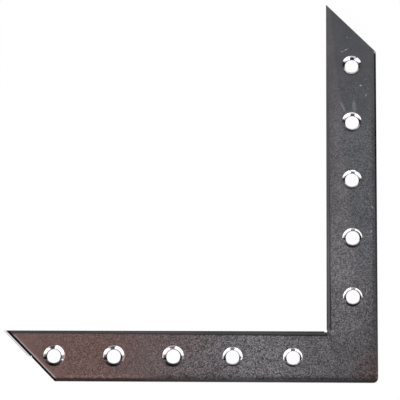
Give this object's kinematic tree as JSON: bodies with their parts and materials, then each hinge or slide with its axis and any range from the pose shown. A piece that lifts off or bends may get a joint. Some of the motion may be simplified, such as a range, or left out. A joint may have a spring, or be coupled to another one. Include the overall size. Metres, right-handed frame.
{
  "type": "corner bracket",
  "caption": "Flat L-shaped corner bracket of zinc-plated sheet steel, with mitred leg ends and a row of countersunk screw holes along each leg.",
  "frame": {"origin": "on the back face, where the centre lines of the two rows of screw holes cross", "axes": "+Z out of the front face, the way the screws leave; +Y along the upright leg to its tip; -X along the level leg to its tip"},
  "size_m": [0.1507, 0.1563, 0.002],
  "materials": {
    "zinc_plated_steel": "zinc-plated cold-rolled sheet, grey, semi-gloss and finely mottled"
  },
  "bodies": {
    "root": {"corner_bracket": "zinc_plated_steel"}
  },
  "joints": []
}
